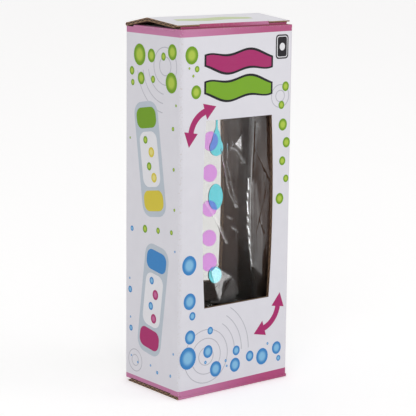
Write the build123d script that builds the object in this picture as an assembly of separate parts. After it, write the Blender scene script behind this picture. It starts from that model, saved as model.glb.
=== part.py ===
from build123d import *
import os
from math import atan2, cos, pi, sin, tan

os.makedirs("parts", exist_ok=True)

# Millimetres. +Z is up, the window side faces -Y, z = 0 is the floor under the bottom panel.

# Timer, outside
timer_length = 150.0
timer_width = 57.0  # across the oval ends
timer_depth = 30.6
waist_width = 45.0
waist_depth = 25.6
shell_wall = 2.0
insert_fit = 0.08  # between the shell and what is bonded inside it
liquid_gap = 0.08  # between a liquid and the wall that holds it

# Timer end caps
cap_flange = 3.0
cap_spigot = 4.0
cap_edge_radius = 1.2

# Funnel inserts, measured inwards from each end of the timer
rim_depth = 15.5
rim_thickness = 1.5
cup_depth = 23.5  # where the upright cup wall turns into the cone
throat_depth = 31.0
nozzle_depth = 34.0
cup_wall = 1.3
gutter_width = 2.0  # between the cup and the shell at the cone's shoulder
throat_width = 9.0
throat_depth_y = 13.6
nozzle_spacing = 8.2  # front stream to rear stream
nozzle_stagger = 0.95  # sideways, so that one stream does not hide the other
nozzle_diameter = 4.2
nozzle_bore = 1.8
baffle = 1.0  # wall between the two streams
drain_diameter = 1.8
drain_offset_y = 2.6
plug_diameter = 4.0
plug_head = 1.0
plug_fit = 0.06
plug_offset_y = 6.4

# Liquids
lower_pool_depth = 22.0  # surface height inside the lower cup, from the timer's bottom
heap_depth = 26.0  # surface height in the lower gutter, from the timer's bottom
drip_channel = 6.9  # clear bore through the carrier for each stream
thread_diameter = 0.9
thread_length = 5.4
teal_tear_width = 6.0
teal_tear_height = 10.7
tear_bulb_share = 0.72  # round part of the hanging drop
tear_join_share = 0.4  # where its shoulder meets the thread's flare
# Loose drops: share of the way from nozzle to nozzle that the centre has fallen, width, height
teal_drops_at = ((0.42, 6.4, 11.7), (0.85, 6.0, 7.6))
pink_drops_at = ((0.125, 5.8, 8.8), (0.3, 5.7, 7.9), (0.495, 5.7, 7.6), (0.66, 5.6, 7.5), (0.795, 6.2, 8.6))

# Carton board and folds
board = 1.5
fold_gap = 0.06  # between a flap's rounded crease and the edge it folds on
flap_gap = 0.1  # between flaps that lie on each other
side_play = 1.0  # timer to side panel
head_play = 5.3  # timer to top dust flaps
seat_gap = 0.05  # timer to bottom dust flaps
tuck_timer_gap = 0.5
slot_gap = 0.2  # at the ends of each crease

# Carton closures
tuck_length = 8.2
tuck_radius = 4.0
tuck_slit = 10.0  # cut along the fold at each end
slit_gap = 0.2
shoulder_edge = 0.6  # board left at a closure's shoulders, which the slit's blade pressed thin
lid_side_gap = 0.15  # lid edge inside the side panel's outer face
lid_rise = 3.0  # the lid's ridge above its hinge
lid_front_lift = 1.1
lid_peak = 15.0  # from the hinge to the ridge
lid_bend = 5.0  # radius of the ridge
dust_length = 25.0
dust_rear_margin = 6.0  # dust flap's end to the carton's hinge side
dust_taper_rear = 10.0
dust_taper_front = 2.5
dust_radius = 2.5
glue_width = 9.0
glue_margin = 4.0  # under the top dust flap

# Windows and film
window_width = 36.6  # front, at the corners
window_height = 82.0
window_bow = 1.4  # how far the front window's upright edges bow outwards
window_offset = 1.1  # front window, sideways from the panel's middle
rear_window_width = 29.4
rear_window_bow = 0.7
rear_window_lift = 2.6  # rear window, upwards from the panel's middle
film = 0.25
film_margin = 4.0

# Worked out from the sizes above
tuck_wall_gap = tuck_length**2 / (2 * timer_depth)  # room for the tuck flap's swing
carton_width = timer_width + 2 * (side_play + board)
carton_depth = timer_depth + 2 * (tuck_wall_gap + board + tuck_timer_gap + board)
timer_z = 2 * board + flap_gap + seat_gap
carton_height = timer_z + timer_length + head_play + board
half_width = carton_width / 2
half_depth = carton_depth / 2
inner_half_width = half_width - board
inner_half_depth = half_depth - board
crease = board / 2
window_z = carton_height / 2
rear_window_z = window_z + rear_window_lift
film_y = inner_half_depth - film / 2
timer_top = timer_z + timer_length
timer_middle = timer_z + timer_length / 2
upper_tip_z = timer_top - nozzle_depth
lower_tip_z = timer_z + nozzle_depth
stream_y = nozzle_spacing / 2
huge = 3 * (carton_height + carton_width + carton_depth)
upwards = (Align.CENTER, Align.CENTER, Align.MIN)
downwards = (Align.CENTER, Align.CENTER, Align.MAX)


def slab(z_low, z_high):
    """Everything between two heights."""
    return Pos(0, 0, (z_low + z_high) / 2) * Box(huge, huge, z_high - z_low)


def half(side):
    """Everything in front of the baffle (side -1) or behind it (side 1)."""
    return Pos(0, side * (huge + baffle + 2 * liquid_gap) / 2, 0) * Box(huge, huge, huge)


def waisted(inset):
    """The timer's waisted oval body, drawn in by an inset on every side."""
    end = Ellipse(timer_width / 2 - inset, timer_depth / 2 - inset)
    waist = Ellipse(waist_width / 2 - inset, waist_depth / 2 - inset)
    heights = (timer_z, timer_middle, timer_top)
    return loft([Pos(0, 0, z) * oval for z, oval in zip(heights, (end, waist, end))])


def nozzle_at(side, z):
    """A height on the axis of one stream's nozzle."""
    return Pos(side * nozzle_stagger, side * stream_y, z)


def turned_over(shape):
    """The same piece at the timer's other end."""
    return mirror(shape, about=Plane.XY.offset(timer_middle))


def inner_reach(end_size, waist_size, depth):
    """Half size of the shell's inside at a depth from the timer's end."""
    share = 1 - 2 * depth / timer_length
    return (waist_size + (end_size - waist_size) * share**2) / 2 - shell_wall


def oval_x(half_x, half_y, y):
    """How far an oval reaches sideways at a distance y from its long axis."""
    return half_x * (1 - (y / half_y) ** 2) ** 0.5


body = waisted(0)
cavity = waisted(shell_wall)
fitted = waisted(shell_wall + insert_fit)
liquid_space = waisted(shell_wall + liquid_gap)
cup_x = inner_reach(timer_width, waist_width, cup_depth) - gutter_width
cup_y = inner_reach(timer_depth, waist_depth, cup_depth) - gutter_width


def cup(grow):
    """The upper funnel's cup, cone and throat as one filled form, grown by a margin."""
    shoulder = Pos(0, 0, timer_top - cup_depth) * Ellipse(cup_x + grow, cup_y + grow)
    throat = Ellipse(throat_width / 2 + grow, throat_depth_y / 2 + grow)
    cone = loft([Pos(0, 0, timer_top - throat_depth - grow) * throat, shoulder])
    return extrude(shoulder, cup_depth - rim_depth) + cone


def funnel():
    """Upper insert: rim, cup, cone, two nozzles, drain holes and the baffle that parts the streams."""
    rim_z = timer_top - rim_depth
    cap_z = timer_top - cap_flange - cap_spigot
    wall = Box(huge, baffle, huge)
    solid = (fitted & slab(rim_z - rim_thickness, rim_z)) + cup(0)
    for side in (-1, 1):
        nozzle = Cylinder(nozzle_diameter / 2, nozzle_depth - throat_depth + cup_wall, align=upwards)
        solid += nozzle_at(side, upper_tip_z) * nozzle
    solid -= cup(-cup_wall) - wall
    solid += fitted & slab(rim_z, cap_z - insert_fit) & wall
    ring_x = inner_reach(timer_width, waist_width, rim_depth)
    ring_y = inner_reach(timer_depth, waist_depth, rim_depth)
    drain_x = (oval_x(cup_x, cup_y, drain_offset_y) + oval_x(ring_x, ring_y, drain_offset_y)) / 2
    for side in (-1, 1):
        solid -= nozzle_at(side, upper_tip_z) * Cylinder(nozzle_bore / 2, 4 * nozzle_depth)
        for end in (-1, 1):
            drain = Cylinder(drain_diameter / 2, 4 * rim_thickness)
            solid -= Pos(end * drain_x, side * drain_offset_y, rim_z) * drain
    return solid


def cap(plug_bores):
    """Top end cap: an oval lid with a rounded outer edge and a spigot that seats in the shell."""
    flange = body & slab(timer_top - cap_flange, timer_top)
    flange = fillet(flange.edges().group_by(Axis.Z)[-1], cap_edge_radius)
    spigot = fitted & slab(timer_top - cap_flange - cap_spigot, timer_top - cap_flange)
    solid = flange + spigot
    if plug_bores:
        for side in (-1, 1):
            bore = Cylinder(plug_diameter / 2, 4 * (cap_flange + cap_spigot))
            recess = Cylinder(plug_diameter / 2 + plug_head + plug_fit, 2 * (plug_head + plug_fit))
            solid -= Pos(0, side * plug_offset_y, timer_top) * (bore + recess)
    return solid


def plug(side):
    """A filler plug with a flat head, sunk flush in the cap."""
    stem_radius = plug_diameter / 2 - plug_fit
    stem = Cylinder(stem_radius, cap_flange + cap_spigot - plug_fit, align=downwards)
    head = Cylinder(plug_diameter / 2 + plug_head, plug_head, align=downwards)
    return Pos(0, side * plug_offset_y, timer_top - plug_fit) * (stem + head)


def divider():
    """Flat wall between the streams, cut to the shell's waist and to both funnels."""
    reach = rim_depth + rim_thickness + insert_fit
    plate = fitted & slab(timer_z + reach, timer_top - reach) & Box(huge, baffle, huge)
    return plate - cup(insert_fit) - turned_over(cup(insert_fit))


def channel(side):
    """The bore through the carrier that one stream of drops falls down."""
    length = upper_tip_z - lower_tip_z + 4 * liquid_gap
    return nozzle_at(side, timer_middle) * Cylinder(drip_channel / 2, length)


def nozzle_room(side):
    """The space that a nozzle takes in the carrier."""
    room = Cylinder(nozzle_diameter / 2 + liquid_gap, nozzle_depth, align=upwards)
    return nozzle_at(side, upper_tip_z - liquid_gap) * room


def carrier(side):
    """Clear liquid on one side of the divider, between the funnels."""
    reach = rim_depth + rim_thickness + liquid_gap
    liquid = liquid_space & slab(timer_z + heap_depth + liquid_gap, timer_top - reach) & half(side)
    room = cup(liquid_gap) + nozzle_room(side)
    return liquid - room - turned_over(room) - channel(side)


def heap(side):
    """Fallen liquid lying in the gutter round the lower cup."""
    base = timer_z + rim_depth + rim_thickness + liquid_gap
    liquid = liquid_space & slab(base, timer_z + heap_depth) & half(side)
    return liquid - turned_over(cup(liquid_gap))


def upper_pool(side):
    """Liquid waiting in the upper cup."""
    level = timer_top - rim_depth - liquid_gap
    return cup(-cup_wall - liquid_gap) & slab(0, level) & half(side)


def upper_clear(side):
    """Clear liquid between the upper pool and the end cap."""
    top = timer_top - cap_flange - cap_spigot - liquid_gap
    return liquid_space & slab(timer_top - rim_depth + liquid_gap, top) & half(side)


def lower_pool(side):
    """Liquid that has reached the lower chamber and stands part way up the lower cup."""
    base = timer_z + cap_flange + cap_spigot + liquid_gap
    chamber = liquid_space & slab(base, timer_z + rim_depth - liquid_gap)
    inside = turned_over(cup(-cup_wall - liquid_gap)) & slab(0, timer_z + lower_pool_depth)
    mouth = Ellipse(cup_x - cup_wall - liquid_gap, cup_y - cup_wall - liquid_gap)
    neck = extrude(Pos(0, 0, timer_z + rim_depth - 2 * liquid_gap) * mouth, 4 * liquid_gap)
    return (chamber + neck + inside) & half(side)


def lower_clear(side):
    """Clear liquid shut in under the lower cone."""
    inside = turned_over(cup(-cup_wall - liquid_gap))
    return inside & slab(timer_z + lower_pool_depth + liquid_gap, timer_top) & half(side)


def drop(width, height):
    """One falling drop."""
    return scale(Sphere(0.5), by=(width, width, height))


def teardrop(width, height):
    """A drop that still hangs from its nozzle by a thread; its origin is the thread's upper end."""
    low = -thread_length - height
    bulb_height = height * tear_bulb_share
    bulb = Pos(0, 0, low + bulb_height / 2) * drop(width, bulb_height)
    neck = (thread_diameter / 2, -thread_length / 2)
    swell = (width / 5, -thread_length)
    join = (width * tear_join_share, low + bulb_height * (1 - tear_join_share / 2))
    outline = make_face(
        [
            Line((0, 0), (neck[0], 0)),
            Line((neck[0], 0), neck),
            Spline(neck, swell, join, tangents=((0, -1), (1, -2))),
            Line(join, (0, join[1])),
            Line((0, join[1]), (0, 0)),
        ]
    )
    return bulb + revolve(Plane.XZ * outline, Axis.Z)


def stream(side, drops):
    """Loose drops of one stream below its nozzle."""
    way = upper_tip_z - lower_tip_z
    return [nozzle_at(side, upper_tip_z - share * way) * drop(wide, tall) for share, wide, tall in drops]


def window(width, bow):
    """A window's cut-out, bowed along both upright edges."""
    x = width / 2
    z = window_height / 2
    outline = make_face(
        [
            Line((-x, -z), (x, -z)),
            ThreePointArc((x, -z), (x + bow, 0), (x, z)),
            Line((x, z), (-x, z)),
            ThreePointArc((-x, z), (-x - bow, 0), (-x, -z)),
        ]
    )
    return extrude(Plane.XZ.offset(-huge) * outline, 2 * huge)


def front_panel():
    """Front panel: its foot stands on the bottom panel's crease, its top edge is free."""
    z_low = board + fold_gap
    plate = Box(2 * inner_half_width, board, carton_height - z_low)
    opening = Pos(window_offset, 0, window_z) * window(window_width, window_bow)
    return Pos(0, -half_depth + crease, (z_low + carton_height) / 2) * plate - opening


def rear_panel():
    """Rear panel: its top edge carries the lid's crease."""
    z_low = board + flap_gap
    z_high = carton_height - crease - fold_gap
    plate = Box(2 * inner_half_width, board, z_high - z_low)
    opening = Pos(0, 0, rear_window_z) * window(rear_window_width, rear_window_bow)
    return Pos(0, half_depth - crease, (z_low + z_high) / 2) * plate - opening


def side_panel():
    """Left panel with its two rounded corner folds and a slot at each end for a dust flap's crease."""
    z_low = board + flap_gap
    z_high = carton_height
    outline = make_face(
        [
            Line((-half_width, -inner_half_depth), (-half_width, inner_half_depth)),
            RadiusArc((-half_width, inner_half_depth), (-inner_half_width, half_depth), board),
            Line((-inner_half_width, half_depth), (-inner_half_width, -half_depth)),
            RadiusArc((-inner_half_width, -half_depth), (-half_width, -inner_half_depth), board),
        ]
    )
    solid = extrude(Pos(0, 0, z_low) * outline, z_high - z_low)
    slot = board + fold_gap
    ends = dust_ends()
    length = ends[1] - ends[0] + 2 * slot_gap
    middle = (ends[0] + ends[1]) / 2
    solid -= Pos(-half_width, middle, z_high) * Box(4 * board, length, 2 * slot)
    solid -= Pos(-half_width, -middle, z_low) * Box(4 * board, length, 2 * slot)
    rear = half_depth - ends[1] - slot_gap
    step = Box(4 * board, rear + slot_gap, 2 * (crease + fold_gap))
    solid -= Pos(-half_width, half_depth - rear / 2, z_high) * step
    return solid


def glue_flap():
    """Lap of the rear panel, bonded to the inside of the right panel, above the bottom tuck flap."""
    z_low = board + tuck_length + slot_gap
    z_high = carton_height - board - glue_margin
    chamfer_length = glue_width / 2
    outline = Polygon(
        (0, z_low),
        (glue_width, z_low + chamfer_length),
        (glue_width, z_high - chamfer_length),
        (0, z_high),
        align=None,
    )
    plate = extrude(Plane.YZ * outline, -board)
    return Pos(inner_half_width, inner_half_depth, 0) * mirror(plate, about=Plane.XZ)


def window_film(width, bow):
    """Clear sheet glued inside a panel, larger than its window all round."""
    margins = 2 * film_margin
    return Box(width + 2 * bow + margins, film, window_height + margins)


def dust_ends():
    """Where a top dust flap begins and ends along Y, clear of the tuck flap and of the lid's hinge."""
    front = -inner_half_depth + tuck_wall_gap + board + tuck_timer_gap
    return front, half_depth - dust_rear_margin


def dust_flap():
    """Top left dust flap: a tapered tab with a rounded crease."""
    front, rear = dust_ends()
    tab = Polygon(
        (0, front),
        (dust_length, front + dust_taper_front),
        (dust_length, rear - dust_taper_rear),
        (0, rear),
        align=None,
    )
    solid = extrude(tab, crease, both=True)
    solid = fillet(solid.edges().filter_by(Axis.Z).group_by(Axis.X)[-1], dust_radius)
    roll = Pos(0, (front + rear) / 2, 0) * Rot(90, 0, 0) * Cylinder(crease, rear - front)
    return Pos(-half_width + crease, 0, carton_height - crease) * (solid + roll)


hinge_y = half_depth - crease
fold_y = -inner_half_depth + tuck_wall_gap + board  # inner face of the top tuck flap
tuck_outer_y = fold_y - board
lid_width = carton_width - 2 * lid_side_gap
tuck_width = lid_width - 2 * (lid_side_gap + board)
joined_width = tuck_width - 2 * tuck_slit  # of the fold, between the slits
shoulder_width = (lid_width - joined_width) / 2


def shoulder_room(z):
    """Room below a closure's two shoulders, where the slit's blade pressed the board thin."""
    room = Box(shoulder_width, 3 * board, 2 * board, align=(Align.CENTER, Align.MAX, Align.MAX))
    x = (joined_width + shoulder_width) / 2
    return [Pos(side * x, fold_y + slit_gap, z) * room for side in (-1, 1)]


def tuck(fold_z, shoulder_z):
    """Tuck flap hanging from a closure's fold, with an ear under each shoulder beyond the slit."""
    low = fold_z - tuck_length
    ear = shoulder_z - slit_gap
    joined = joined_width / 2
    end = tuck_width / 2
    outline = Polygon(
        (-joined - slit_gap, fold_z),
        (-joined - slit_gap, ear),
        (-end, ear),
        (-end, low),
        (end, low),
        (end, ear),
        (joined + slit_gap, ear),
        (joined + slit_gap, fold_z),
        align=None,
    )
    solid = extrude(Plane.XZ.offset(-tuck_outer_y) * outline, -board)
    lowest = solid.edges().filter_by(Axis.Y).group_by(Axis.Z)[0]
    return fillet(lowest, tuck_radius)


def lid():
    """Lid panel, sprung up along a soft ridge, and its tuck flap."""
    ridge_y = hinge_y - lid_peak
    ridge_z = carton_height + lid_rise
    droop = atan2(lid_rise - lid_front_lift, ridge_y - fold_y)

    def square_edge(inner_y):
        """Inner, middle and outer corner of the front slope where its inner face reaches inner_y."""
        inner_z = ridge_z - (ridge_y - inner_y) * tan(droop) - crease / cos(droop)
        return [(inner_y - r * sin(droop), inner_z + r * cos(droop)) for r in (0, crease, board)]

    def plate(inner_y, width):
        points = (hinge_y, carton_height), (ridge_y, ridge_z), square_edge(inner_y)[1]
        sheet = trace(FilletPolyline(*points, radius=lid_bend), board)
        return extrude(Plane.YZ * sheet, width / 2, both=True)

    panel = plate(fold_y, lid_width)
    for side in (-1, 1):
        panel += Pos(side * (lid_width - shoulder_width) / 2, 0, 0) * plate(tuck_outer_y, shoulder_width)
    shoulder_z = square_edge(tuck_outer_y)[2][1] - shoulder_edge
    panel -= shoulder_room(shoulder_z)
    roll = Pos(0, hinge_y, carton_height) * Rot(0, 90, 0) * Cylinder(crease, lid_width)
    inner, _, outer = square_edge(fold_y)
    bend = (3 * pi / 2 + droop) / 2
    knuckle = (fold_y + board * cos(bend), inner[1] + board * sin(bend))
    elbow_face = make_face(
        [
            Line(inner, outer),
            ThreePointArc(outer, knuckle, (tuck_outer_y, inner[1])),
            Line((tuck_outer_y, inner[1]), inner),
        ]
    )
    elbow = extrude(Plane.YZ * elbow_face, joined_width / 2, both=True)
    return panel + roll + elbow, tuck(inner[1], shoulder_z)


def flat_closure():
    """A flat closure at the top; turned over it is the bottom."""
    z = carton_height - crease
    panel = Pos(0, (hinge_y + tuck_outer_y) / 2, z) * Box(lid_width, hinge_y - tuck_outer_y, board)
    shoulder_z = carton_height - shoulder_edge
    corner = Pos(0, (fold_y + tuck_outer_y) / 2, z) * Box(joined_width, board, board)
    elbow = Pos(0, fold_y, z - crease) * Rot(0, 90, 0) * Cylinder(board, joined_width)
    panel = panel - shoulder_room(shoulder_z) - (corner - elbow)
    roll = Pos(0, hinge_y, z) * Rot(0, 90, 0) * Cylinder(crease, lid_width)
    return panel + roll, tuck(z - crease, shoulder_z)


def to_bottom(shape):
    """A top closure piece turned end over end about the carton's middle."""
    return Pos(0, 0, carton_height / 2) * Rot(180, 0, 0) * Pos(0, 0, -carton_height / 2) * shape


def lowered(shape):
    """A dust flap moved down by the closure that lies over it."""
    return Pos(0, 0, board + flap_gap) * to_bottom(shape)


def to_right(shape):
    """The matching piece on the carton's right."""
    return mirror(shape, about=Plane.YZ)


lid_panel, lid_tuck_flap = lid()
flat_panel, flat_tuck = flat_closure()
upper_funnel = funnel()
top_dust = dust_flap()
bottom_dust = lowered(top_dust)
left_side = side_panel()
teal_tear = nozzle_at(-1, upper_tip_z - liquid_gap) * teardrop(teal_tear_width, teal_tear_height)

nodes = {
    "front_panel": front_panel(),
    "rear_panel": rear_panel(),
    "left_side_panel": left_side,
    "right_side_panel": to_right(left_side),
    "glue_flap": glue_flap(),
    "front_window_film": Pos(window_offset, -film_y, window_z) * window_film(window_width, window_bow),
    "rear_window_film": Pos(0, film_y, rear_window_z) * window_film(rear_window_width, rear_window_bow),
    "lid_panel": lid_panel,
    "lid_tuck_flap": lid_tuck_flap,
    "top_dust_flap_left": top_dust,
    "top_dust_flap_right": to_right(top_dust),
    "bottom_panel": to_bottom(flat_panel),
    "bottom_tuck_flap": to_bottom(flat_tuck),
    "bottom_dust_flap_left": bottom_dust,
    "bottom_dust_flap_right": to_right(bottom_dust),
    "timer_shell": (body - cavity) & slab(timer_z + cap_flange, timer_top - cap_flange),
    "top_end_cap": cap(False),
    "bottom_end_cap": turned_over(cap(True)),
    "upper_funnel": upper_funnel,
    "lower_funnel": turned_over(upper_funnel),
    "centre_divider": divider(),
    "filler_plugs": Compound([turned_over(plug(side)) for side in (-1, 1)]),
    "teal_upper_pool": upper_pool(-1),
    "pink_upper_pool": upper_pool(1),
    "teal_lower_pool": lower_pool(-1),
    "pink_lower_pool": lower_pool(1),
    "teal_gutter_pool": heap(-1),
    "pink_gutter_pool": heap(1),
    "front_carrier": carrier(-1),
    "rear_carrier": carrier(1),
    "upper_carrier": Compound([upper_clear(side) for side in (-1, 1)]),
    "lower_carrier": Compound([lower_clear(side) for side in (-1, 1)]),
    "teal_drops": Compound([teal_tear] + stream(-1, teal_drops_at)),
    "pink_drops": Compound(stream(1, pink_drops_at)),
}
for name, shape in nodes.items():
    export_step(shape, f"parts/{name}.step")
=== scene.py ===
# %% [markdown]
# # A liquid timer in its window carton
# The imported CAD model is the frame of this lesson: every piece below sits where the CAD says, in
# metres, with +Z up and the front window facing -Y. We load it first.

# %% Load the frame
from math import atan2, ceil, cos, exp, pi, radians, sin, tan

import bmesh
import bpy
from mathutils import Matrix, Vector, geometry, noise


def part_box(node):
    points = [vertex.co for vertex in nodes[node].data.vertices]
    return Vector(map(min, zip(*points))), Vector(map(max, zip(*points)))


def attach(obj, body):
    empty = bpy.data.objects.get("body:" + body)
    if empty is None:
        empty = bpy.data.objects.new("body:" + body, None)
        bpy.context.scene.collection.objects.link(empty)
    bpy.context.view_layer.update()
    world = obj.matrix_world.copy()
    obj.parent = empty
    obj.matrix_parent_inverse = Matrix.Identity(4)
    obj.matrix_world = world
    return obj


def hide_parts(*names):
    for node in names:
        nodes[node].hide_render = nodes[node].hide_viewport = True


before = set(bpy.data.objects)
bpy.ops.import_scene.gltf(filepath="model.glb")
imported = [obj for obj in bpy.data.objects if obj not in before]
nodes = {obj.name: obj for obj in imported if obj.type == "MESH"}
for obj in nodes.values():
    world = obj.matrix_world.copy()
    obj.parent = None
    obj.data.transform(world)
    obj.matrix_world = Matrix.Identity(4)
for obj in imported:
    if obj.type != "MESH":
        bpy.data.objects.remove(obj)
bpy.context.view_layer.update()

scene = bpy.context.scene
mm = 0.001

# %% [markdown]
# The carton is a folded sheet, so a few sizes say where everything is: the outside of its walls, the
# thickness of the board and the height of the folded tube. They are read from the CAD nodes.

# %% Sizes of the carton
front_low, front_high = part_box("front_panel")
board = front_high.y - front_low.y
half_width = -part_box("left_side_panel")[0].x
half_depth = -front_low.y
inner_x = half_width - board
inner_y = half_depth - board
carton_top = front_high.z
flute_pitch = 3.3 * mm
print(f"carton {2 * half_width:.4f} x {2 * half_depth:.4f} x {carton_top:.4f} m, board {board:.4f} m")

# %% [markdown]
# ## Camera
# The photograph was taken with a long lens from the front left and a little above. A camera can be
# turned by hand until it looks right, but here the corners of the carton fix it: its matrix is built
# from the direction it looks back from, with a small roll.

# %% Camera
view_target = Vector((0, 0, 0.080))
view_azimuth, view_elevation, view_roll = radians(-38.50), radians(10.56), radians(0.62)
view_distance = 0.7106

backwards = Vector((
    sin(view_azimuth) * cos(view_elevation),
    -cos(view_azimuth) * cos(view_elevation),
    sin(view_elevation),
))
level_right = Vector((cos(view_azimuth), sin(view_azimuth), 0))
level_up = backwards.cross(level_right)
camera_right = level_right * cos(view_roll) + level_up * sin(view_roll)
camera_up = level_up * cos(view_roll) - level_right * sin(view_roll)
turn = Matrix((camera_right, camera_up, backwards)).transposed().to_4x4()

lens = bpy.data.cameras.new("photo_camera")
lens.lens, lens.sensor_width = 138.27, 36.0
lens.shift_x, lens.shift_y = 0.00024, -0.0083
lens.clip_start = 0.01
camera = bpy.data.objects.new("photo_camera", lens)
camera.matrix_world = Matrix.Translation(view_target + backwards * view_distance) @ turn
scene.collection.objects.link(camera)
scene.camera = camera
scene.view_settings.view_transform = "Standard"
print("camera at", [round(c, 3) for c in camera.matrix_world.translation])

# %% [markdown]
# ## Helpers
# Every finish in this file is a small tree of shader nodes, and a few helpers keep the trees readable.
# Inks are written as they look on screen, from 0 to 255, and turned into the linear values that the
# shader needs. One more helper turns a finished form into an object.

# %% Helpers
def add(tree, kind, inputs=None, **settings):
    """Adds a node; inputs are values or other nodes' outputs."""
    made = tree.nodes.new("ShaderNode" + kind)
    for name, value in settings.items():
        setattr(made, name, value)
    for name, value in (inputs or {}).items():
        if isinstance(value, bpy.types.NodeSocket):
            tree.links.new(value, made.inputs[name])
        else:
            made.inputs[name].default_value = value
    return made


def calc(tree, operation, *values):
    """One sum on values or outputs."""
    return add(tree, "Math", dict(enumerate(values)), operation=operation).outputs[0]


def above(tree, value, edge, soft):
    """0 below an edge, 1 above it, with a soft step between."""
    inputs = {"Value": value, "From Min": edge - soft, "From Max": edge + soft}
    return add(tree, "MapRange", inputs, interpolation_type="SMOOTHSTEP").outputs[0]


def span(tree, across, up):
    """Length of a slanting line from its two parts."""
    squares = calc(tree, "MULTIPLY_ADD", across, across, calc(tree, "MULTIPLY", up, up))
    return calc(tree, "SQRT", squares)


def grain(tree, where, scale, detail):
    """Soft noise of a given fineness."""
    inputs = {"Vector": where, "Scale": scale, "Detail": detail}
    return add(tree, "TexNoise", inputs).outputs[0]


def mix(tree, share, first, second):
    """Mixes two colours."""
    return add(tree, "Mix", {0: share, 6: first, 7: second}, data_type="RGBA").outputs[2]


def ink(red, green, blue):
    """A screen colour as linear light."""
    def light(value):
        value /= 255
        return value / 12.92 if value < 0.04045 else ((value + 0.055) / 1.055) ** 2.4

    return light(red), light(green), light(blue), 1.0


def finish(name):
    """A new material with its tree and its Principled shader."""
    material = bpy.data.materials.new(name)
    material.use_nodes = True
    return material, material.node_tree, material.node_tree.nodes["Principled BSDF"]


def new_object(name, bm, material):
    """Turns a bmesh into an object with one finish."""
    mesh = bpy.data.meshes.new(name)
    bm.to_mesh(mesh)
    bm.free()
    mesh.materials.append(material)
    made = bpy.data.objects.new(name, mesh)
    scene.collection.objects.link(made)
    return made


def place(tree):
    """Object coordinates, which are the frame's metres, as x, y and z."""
    where = add(tree, "TexCoord").outputs["Object"]
    return where, add(tree, "SeparateXYZ", {0: where}).outputs


print("helpers ready")

# %% [markdown]
# ## Floor, light and background
# The carton stands on a white sweep under very even light: its front, its left side and its lid are
# almost equally bright. The world gives most of that light. Two large soft boxes add a little shape,
# and a small one is there for the glints on the window film. What the camera, mirrors and glass see
# of the world and the floor is plain white, chosen by the kind of ray, so the light stays level.

# %% World
world = bpy.data.worlds.new("white_room")
scene.world = world
world.use_nodes = True
sky = world.node_tree
sky.nodes.clear()


def seen_directly(tree):
    """1 for rays that show a surface to the camera, straight, in gloss or through glass."""
    rays = add(tree, "LightPath").outputs
    direct = calc(tree, "ADD", rays["Is Camera Ray"], rays["Is Glossy Ray"])
    return calc(tree, "MINIMUM", calc(tree, "ADD", direct, rays["Is Transmission Ray"]), 1.0)


level_strength, white_strength = 0.66, 1.0
room_light = add(sky, "Background", {"Color": (1.0, 0.99, 0.985, 1), "Strength": level_strength})
room_white = add(sky, "Background", {"Color": (1, 1, 1, 1), "Strength": white_strength})
shares = {0: seen_directly(sky), 1: room_light.outputs[0], 2: room_white.outputs[0]}
room = add(sky, "MixShader", shares)
add(sky, "OutputWorld", {"Surface": room.outputs[0]})
print("world lights the scene evenly")

# %% [markdown]
# A soft box is a rectangular area lamp, turned towards the carton and hidden from the camera, so that only
# its light shows. The place of the glint box is kept, because the facets of the film are aimed at it.

# %% Soft boxes
def soft_box(name, spot, size, power):
    """A rectangular lamp that faces the carton."""
    lamp = bpy.data.lights.new(name, "AREA")
    lamp.shape = "RECTANGLE"
    lamp.size, lamp.size_y = size
    lamp.energy = power
    made = bpy.data.objects.new(name, lamp)
    spot = Vector(spot)
    facing = (view_target - spot).to_track_quat("-Z", "Y").to_matrix().to_4x4()
    made.matrix_world = Matrix.Translation(spot) @ facing
    made.visible_camera = False
    scene.collection.objects.link(made)


glint_spot = Vector((0.73, -0.94, 0.09))
soft_box("key_box", (-1.1, -1.2, 1.3), (1.2, 1.2), 7.0)
soft_box("fill_box", (1.3, -1.3, 0.8), (1.0, 1.0), 3.0)
soft_box("glint_box", glint_spot, (0.25, 0.14), 0.55)
print("three soft boxes")

# %% [markdown]
# The floor is one large white square. By soft light alone it comes out a little grey, so it also glows
# where it is seen directly.

# %% Floor
floor_half_width, floor_glow = 9.0, 0.30
floor_material, tree, shader = finish("white_sweep")
shader.inputs["Base Color"].default_value = (0.90, 0.90, 0.90, 1)
shader.inputs["Roughness"].default_value = 0.9
shader.inputs["Emission Color"].default_value = (1, 1, 1, 1)
glow = calc(tree, "MULTIPLY", seen_directly(tree), floor_glow)
tree.links.new(glow, shader.inputs["Emission Strength"])

bm = bmesh.new()
bmesh.ops.create_grid(bm, x_segments=1, y_segments=1, size=floor_half_width)
floor = new_object("floor", bm, floor_material)
print("floor laid")

# %% [markdown]
# ## Corrugated board
# The carton is E-flute board: a wavy paper glued between two liners, about 1.5 mm thick. Where the
# board is cut, the wave shows as a row of small hollows, which lie in shade. It could be modelled, but the
# wave is
# 3 mm long and the hollows are half a millimetre, so a pattern is enough: a group that takes the
# depth into the board and the way along the cut, and gives the colour of liner, wave or hollow, with
# painted shade in the hollows. The bare inside of the carton is grey-brown recycled liner, with painted
# shade that darkens it towards the foot of the carton.

# %% Cut edge of the board
def new_group(name, inputs, outputs):
    """An empty node group with named sockets."""
    group = bpy.data.node_groups.new(name, "ShaderNodeTree")
    for way, sockets in (("INPUT", inputs), ("OUTPUT", outputs)):
        for socket, kind in sockets:
            group.interface.new_socket(socket, in_out=way, socket_type="NodeSocket" + kind)
    return group, group.nodes.new("NodeGroupInput").outputs, group.nodes.new("NodeGroupOutput").inputs


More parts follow.
